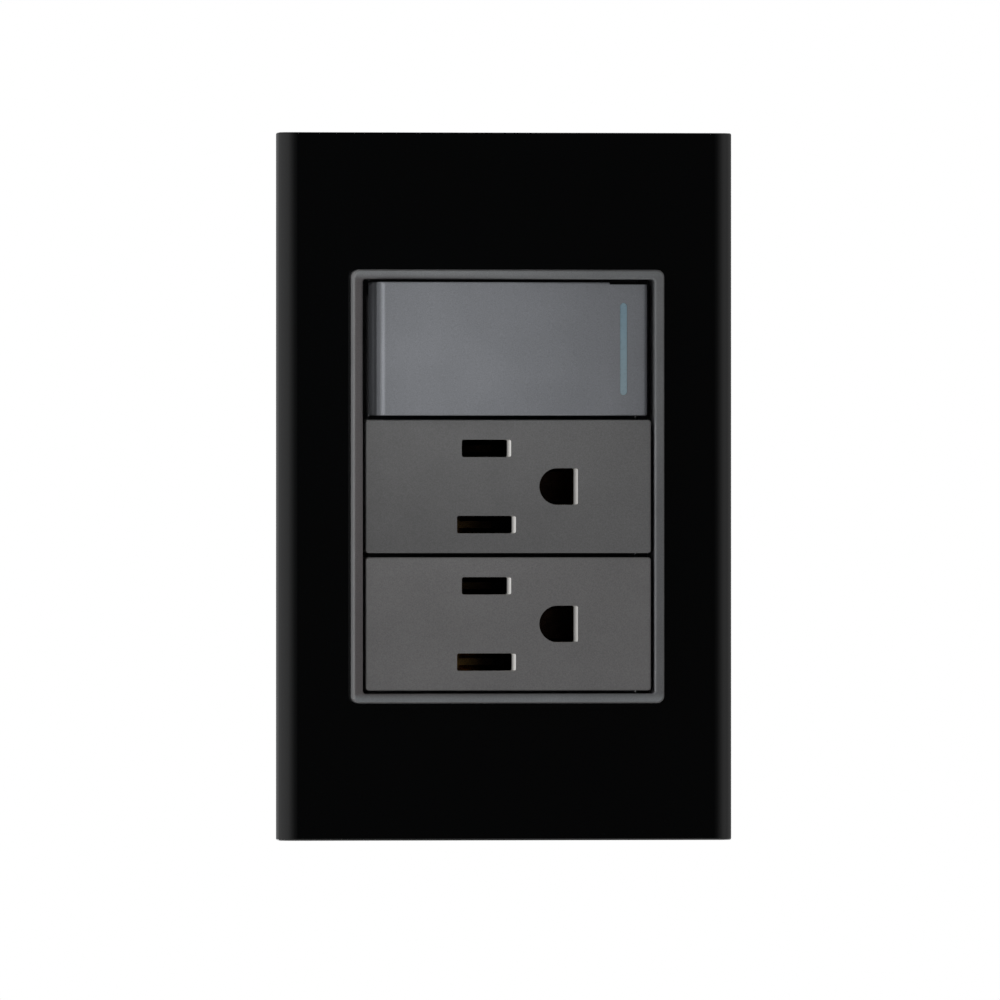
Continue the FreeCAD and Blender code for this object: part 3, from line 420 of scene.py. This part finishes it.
def socket_face(index, colour, far_end_light):
    """A white moulding, painted graphite outside and left bare in its slots and behind its face.

    Its paint carries painted light that changes in brightness towards its right end, and its bare walls that
    face left near the slots' mouths glow as painted light."""
    metallic = 0.2
    finish = satin_paint("socket_%d_face" % index, colour, metallic, 0.5)
    bare = finish.speckled((0.72, 0.71, 0.68), 0.6 * MM, 0.03)
    x, y, z = finish.axes()
    aside = finish.magnitude(x)
    # Painted light: the paint's brightness changes from its left end to its right end.
    painted_light_drift = finish.colours(finish.between(x, *PAINTED_LIGHT_REACH), [(0.0, grey(1.0)), (1.0, grey(far_end_light))])
    painted = finish.filtered(finish.base(), painted_light_drift)
    across = finish.between(aside, FACE_HALF_WIDTH, FACE_HALF_WIDTH + PAINT_FADE, 1.0, 0.0)
    height = finish.magnitude(finish.math("SUBTRACT", z, -MODULE_PITCH * (index - 1)))
    along = finish.between(height, FACE_HALF_HEIGHT, FACE_HALF_HEIGHT + PAINT_FADE, 1.0, 0.0)
    behind = finish.between(y, FACE_Y + PAINT_DEPTH, FACE_Y + 2 * PAINT_DEPTH)
    inside = finish.times(across, along, behind)
    # Painted glow: bare walls that face left, near the slots' mouths, give off light.
    mouth = finish.between(y, FACE_Y, FACE_Y + GLOW_DEPTH, 1.0, 0.0)
    near = finish.between(aside, SLOT_REACH, SLOT_REACH + SLOT_FADE, 1.0, 0.0)
    lit_side = finish.between(finish.facing()["X"], *FACING_LEFT, 1.0, 0.0)
    painted_glow = finish.times(inside, finish.times(mouth, near), lit_side)
    finish.set(Base_Color=finish.mix(inside, painted, bare),
               Metallic=finish.times(finish.math("SUBTRACT", 1.0, inside), metallic),
               Emission_Color=(1.0, 0.99, 0.97),
               Emission_Strength=finish.times(painted_glow, finish.between(x, *GLOW_FADE, 0.47, 0.33)))
    return finish


def indicator():
    """Pale blue-grey translucent strip with soft clouds in it."""
    finish = Finish("indicator_strip")
    foot, head = MODULE_PITCH - STRIPE_HALF, MODULE_PITCH + STRIPE_HALF
    down = finish.between(finish.axes()["Z"], foot, head, 1.0, 0.0)
    base = finish.mix(down, (0.41, 0.6, 0.71), (0.49, 0.65, 0.73))
    cloud = finish.colours(finish.noise(1.6 * MM), [(0.3, grey(0.97)), (0.7, grey(1.03))])
    finish.set(Base_Color=finish.filtered(base, cloud), IOR=1.5,
               Roughness=finish.uneven(finish.noise(0.4 * MM), 0.25, 0.38))
    return finish


def lamp_glass():
    """Faintly yellow glass with an uneven polish."""
    finish = Finish("lamp_glass")
    finish.set(Base_Color=finish.speckled((0.75, 0.72, 0.62), 1.2 * MM, 0.05),
               Roughness=finish.uneven(finish.noise(1.5 * MM), 0.06, 0.16),
               Transmission_Weight=0.6, IOR=1.5)
    return finish


def pale_floor():
    finish = Finish("pale_floor")
    finish.set(Base_Color=finish.speckled((0.82, 0.82, 0.82), 40 * MM, 0.01), Roughness=0.7)
    return finish


def slot_of(name):
    for material_slot in nodes[name].material_slots:
        if material_slot.material:
            return material_slot.material.name.split(".")[0]
    return ""


finishes = {
    "cover_plate": glossy_plate(),
    "bezel_frame": ring_paint(),
    "rocker_cap": rocker_paint(),
    # Painted light and shade: the two sockets carry the same paint, given a different colour and end level
    # for each.
    "socket_1_cover": socket_face(1, (0.234, 0.233, 0.235), 1.15),
    "socket_2_cover": socket_face(2, (0.327, 0.321, 0.323), 0.95),
    "indicator_lens": indicator(),
    "indicator_lamp": lamp_glass(),
}
by_slot = {
    "frame_plastic": moulded("frame_moulding", (0.03, 0.031, 0.033), 0.5),
    "housing_plastic": moulded("housing_moulding", (0.035, 0.036, 0.039), 0.5),
    "mechanism_plastic": moulded("mechanism_moulding", (0.62, 0.61, 0.57), 0.42, 0.03),
    "brass": brass_strip("brass"),
    "silver_contact": metal("silver_contact", (0.82, 0.8, 0.76), 0.2, (1.0, 0.4, 1.0), 0.8),
    "zinc_steel": zinc_plated("zinc_plated_steel"),
    "spring_steel": metal("spring_steel", (0.48, 0.47, 0.46), 0.26, (1.0, 0.2, 1.0), 0.85),
}
clamp_steel = metal("clamp_steel", (0.3, 0.3, 0.305), 0.36, (1.0, 1.0, 0.2), 0.75)
screw_steel = terminal_steel()
for module in ("switch", "socket_1", "socket_2"):
    finishes[module + "_clamps"] = clamp_steel
    finishes[module + "_terminal_screws"] = screw_steel
blade_brass = socket_brass()
for module in ("socket_1", "socket_2"):
    for contact in ("line", "neutral", "ground"):
        finishes["%s_%s_contact" % (module, contact)] = blade_brass

for name, node in nodes.items():
    finish = finishes.get(name) or by_slot.get(slot_of(name), by_slot["housing_plastic"])
    for material_slot in node.material_slots:
        material_slot.material = finish.material


def placed(name, data):
    """An object with this data, in the scene."""
    thing = bpy.data.objects.new(name, data)
    bpy.context.scene.collection.objects.link(thing)
    return thing


def piece(name, form, smooth=False):
    """A piece of the scene from a form that is finished."""
    mesh = bpy.data.meshes.new(name)
    form.to_mesh(mesh)
    form.free()
    for face in mesh.polygons:
        face.use_smooth = smooth
    return placed(name, mesh)


def join_rings(form, rings):
    for first, second in zip(rings, rings[1:]):
        for step in range(len(first)):
            after = (step + 1) % len(first)
            form.faces.new((first[step], first[after], second[after], second[step]))


def screw_ring(form, x, y, z, radii):
    """One ring round a screw's axis, at x and z in metres, from its radii in millimetres."""
    ring = []
    for step, radius in enumerate(radii):
        turn = 2 * math.pi * step / len(radii)
        ring.append(form.verts.new(
            (x + radius * MM * math.sin(turn), y * MM, z + radius * MM * math.cos(turn))))
    return ring


def threaded_screw(name, x, z):
    """A box screw: domed head, relieved neck, and a shank with a real helical thread."""
    dome = [(0.0, 0.0), (1.2, 0.02), (2.2, 0.16), (2.8, 0.42), (3.12, 0.8), (HEAD_RADIUS, 1.1)]
    profile = [(radius, HEAD_FRONT + rise) for radius, rise in dome]
    profile += [(HEAD_RADIUS, HEAD_BACK), (NECK_RADIUS, HEAD_BACK), (NECK_RADIUS, 0.0)]
    form = bmesh.new()
    rings = [screw_ring(form, x, y, z, [radius] * SCREW_STEPS) for radius, y in profile]
    rows = int(THREAD_LENGTH / THREAD_PITCH * ROWS_PER_TURN)
    for row in range(rows + 1):
        y = THREAD_LENGTH * row / rows
        taper = min(1.0, (THREAD_LENGTH - y) / POINT_LENGTH)
        radii = []
        for step in range(SCREW_STEPS):
            phase = (y / THREAD_PITCH - step / SCREW_STEPS) % 1.0
            depth = THREAD_DEPTH * abs(2 * phase - 1)
            radii.append((THREAD_RADIUS - depth * taper) * (POINT_SHARE + (1.0 - POINT_SHARE) * taper))
        rings.append(screw_ring(form, x, y, z, radii))
    join_rings(form, rings)
    form.faces.new(rings[-1])
    bmesh.ops.remove_doubles(form, verts=rings[0], dist=1e-6)
    bmesh.ops.recalc_face_normals(form, faces=form.faces)
    return piece(name, form, smooth=True)


def cut_drive(screw, x, z):
    """Cuts the screwdriver's slot into a screw's head."""
    form = bmesh.new()
    bmesh.ops.create_cube(form, size=1.0)
    for vertex in form.verts:
        vertex.co = Vector((x + vertex.co.x * DRIVE_WIDTH * MM, (HEAD_FRONT + vertex.co.y * DRIVE_DEPTH) * MM,
                            z + vertex.co.z * DRIVE_LENGTH * MM))
    tool = piece("slot_cutter", form)
    cut = screw.modifiers.new("slot", "BOOLEAN")
    cut.object = tool
    cut.solver = "EXACT"
    bpy.context.view_layer.update()
    done = bpy.data.meshes.new_from_object(screw.evaluated_get(bpy.context.evaluated_depsgraph_get()))
    screw.modifiers.clear()
    screw.data = done
    bpy.data.objects.remove(tool)


def coil_spring(name, middle, axis):
    """The plunger's spring: wire in an open helix whose end turns are closed and ground flat."""
    up = Vector((0.0, 0.0, 1.0))
    across = axis.cross(up)
    pitch = (COIL_END - COIL_START - 2 * CLOSED_PITCH) / OPEN_TURNS
    low = COIL_START - WIRE_RADIUS * GROUND_SHARE
    high = COIL_END + WIRE_RADIUS * GROUND_SHARE
    form = bmesh.new()
    rings = []
    for step in range(COIL_STEPS * (OPEN_TURNS + 2) + 1):
        turn = step / COIL_STEPS
        rise = CLOSED_PITCH * min(turn, 1.0) + pitch * min(max(turn - 1.0, 0.0), OPEN_TURNS)
        along = COIL_START + rise + CLOSED_PITCH * max(turn - 1.0 - OPEN_TURNS, 0.0)
        outward = across * math.cos(2 * math.pi * turn) + up * math.sin(2 * math.pi * turn)
        ring = []
        for side in range(WIRE_SIDES):
            swing = 2 * math.pi * side / WIRE_SIDES
            reach = COIL_RADIUS + WIRE_RADIUS * math.cos(swing)
            level = min(max(along + WIRE_RADIUS * math.sin(swing), low), high)
            ring.append(form.verts.new(middle + (axis * level + outward * reach) * MM))
        rings.append(ring)
    join_rings(form, rings)
    form.faces.new(rings[0])
    form.faces.new(rings[-1])
    bmesh.ops.recalc_face_normals(form, faces=form.faces)
    return piece(name, form, smooth=True)


low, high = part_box("mounting_screws")
for index, side in enumerate((1, -1)):
    height = side * ((high[2] - low[2]) / 2 - HEAD_RADIUS * MM)
    screw = threaded_screw("box_screw_%d" % (index + 1), 0.0, height)
    cut_drive(screw, 0.0, height)
    screw.data.materials.append(by_slot["zinc_steel"].material)
    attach(screw, "base")
    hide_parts("mounting_screws")

joints = {joint["name"]: joint for joint in frame["joints"]}
barrel_axis = -Vector(joints["plunger_slide"]["axis"])
pivot = Vector(joints["rocker_tilt"]["pos_m"])
spring = coil_spring("plunger_coil", pivot, barrel_axis)
spring.data.materials.append(by_slot["spring_steel"].material)
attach(spring, "rocker")
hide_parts("plunger_spring")
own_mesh(spring)

floor_form = bmesh.new()
bmesh.ops.create_circle(floor_form, cap_ends=True, radius=FLOOR_RADIUS, segments=FLOOR_STEPS)
for vertex in floor_form.verts:
    vertex.co.z = FLOOR_HEIGHT
floor = piece("floor", floor_form)
floor.data.materials.append(pale_floor().material)
floor.visible_diffuse = False

# The camera sees white all round; everything else sees the surroundings.
world = bpy.data.worlds.new("studio")
bpy.context.scene.world = world
world.use_nodes = True
studio = Graph(world.node_tree)
studio.tree.nodes.clear()
towards_x, towards_y, towards_z = studio.split(studio.add("ShaderNodeTexCoord").outputs["Generated"])
azimuth = studio.math("ARCTAN2", towards_x, studio.math("MULTIPLY", towards_y, -1.0))
turns = studio.math("ADD", studio.math("DIVIDE", azimuth, 2 * math.pi), 0.5)
surround = studio.add("ShaderNodeBackground")
studio.feed(surround.inputs["Color"], studio.colours(
    turns, [(degrees / 360 + 0.5, grey(radiance)) for degrees, radiance in SURROUND]))
steepness = studio.magnitude(towards_z)
studio.feed(surround.inputs["Strength"], studio.between(steepness, STEEP_START, STEEP_END, 1.0, STEEP_LEVEL))
backdrop = studio.add("ShaderNodeBackground")
studio.feed(backdrop.inputs["Color"], grey(1.0))
choose = studio.add("ShaderNodeMixShader")
studio.feed(choose.inputs["Fac"], studio.add("ShaderNodeLightPath").outputs["Is Camera Ray"])
studio.feed(choose.inputs[1], surround.outputs[0])
studio.feed(choose.inputs[2], backdrop.outputs[0])
studio.feed(studio.add("ShaderNodeOutputWorld").inputs["Surface"], choose.outputs[0])


def aimed(name, data, place, direction):
    """A light or a camera at a place, looking in a direction."""
    holder = placed(name, data)
    holder.location = place
    holder.rotation_euler = direction.to_track_quat("-Z", "Y").to_euler()
    return holder


for name, place, aim, size, power in SOFT_LIGHTS:
    lamp = bpy.data.lights.new(name, "AREA")
    lamp.shape = "DISK"
    lamp.size = size
    lamp.energy = power
    aimed(name, lamp, place, Vector(aim) - Vector(place)).visible_glossy = False

beam = bpy.data.lights.new("rocker_beam", "SPOT")
beam.energy = BEAM_POWER
beam.spot_size = BEAM_ANGLE
beam.spot_blend = 1.0
beam.shadow_soft_size = BEAM_SIZE
aimed("rocker_beam", beam, BEAM_PLACE, Vector(BEAM_AIM) - Vector(BEAM_PLACE))

toward = Vector((math.sin(CAMERA_AZIMUTH), -math.cos(CAMERA_AZIMUTH), 0.0))
aim = Vector((math.cos(CAMERA_AZIMUTH), math.sin(CAMERA_AZIMUTH), 0.0)) * AIM_ASIDE
aim += Vector((0.0, 0.0, AIM_HEIGHT)) + toward * AIM_FORWARD
lens = bpy.data.cameras.new("camera")
lens.sensor_width = 36.0
lens.lens = lens.sensor_width * CAMERA_DISTANCE / FRAME_WIDTH
lens.clip_start = 0.05
lens.clip_end = 50.0
bpy.context.scene.camera = aimed("camera", lens, aim + toward * CAMERA_DISTANCE, -toward)
bpy.context.scene.view_settings.view_transform = "Standard"
